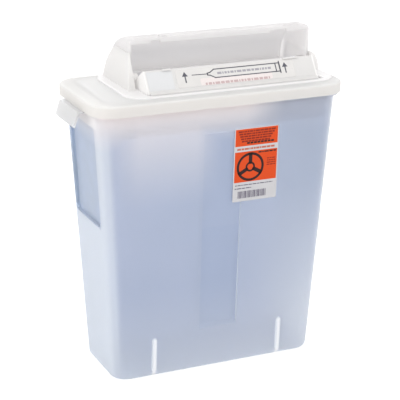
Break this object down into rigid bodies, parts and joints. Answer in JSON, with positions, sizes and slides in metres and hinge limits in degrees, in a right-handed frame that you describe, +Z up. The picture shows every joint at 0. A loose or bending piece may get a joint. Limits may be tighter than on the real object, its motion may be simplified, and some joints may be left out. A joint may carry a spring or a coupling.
{
  "type": "sharps container",
  "caption": "Tapered translucent bin with a side grip and a snapped-on white lid, whose hooded tray tips on a counterweighted pivot to drop a used sharp inside.",
  "frame": {"origin": "centre of the tub's flat underside", "axes": "+X to the user's right along the long side, -Y towards the user, +Z up"},
  "size_m": [0.3441, 0.152, 0.4192],
  "materials": {
    "translucent_tub": "translucent natural polypropylene, fine satin",
    "label_film": "printed film, satin",
    "lid_white": "moulded warm white polypropylene, satin",
    "guard_white": "moulded white polypropylene, matte",
    "tray_white": "moulded warm white polypropylene, satin",
    "pin_plastic": "natural acetal",
    "rod_steel": "drawn steel rod",
    "pad_blue": "soft pale blue pad, matte",
    "flap_film": "printed film, satin"
  },
  "bodies": {
    "container": {"tub": "translucent_tub", "front_label": "label_film", "lid_deck": "lid_white", "hood": "lid_white", "hand_guard": "guard_white", "pivot_cover_left": "lid_white", "pivot_cover_right": "lid_white"},
    "tray": {"flap_panel": "tray_white", "tray_floor": "tray_white", "tray_end_left": "tray_white", "tray_end_right": "tray_white", "pivot_pin_left": "pin_plastic", "pivot_pin_right": "pin_plastic", "counterweight_rod": "rod_steel", "flap_label": "flap_film", "thumb_pad": "pad_blue"}
  },
  "joints": [
    {"name": "tray_tip", "type": "hinge", "parent": "container", "child": "tray", "pos_m": [0.0235, 0.008, 0.368], "axis": [-1, 0, 0], "range_deg": [0, 57]}
  ]
}
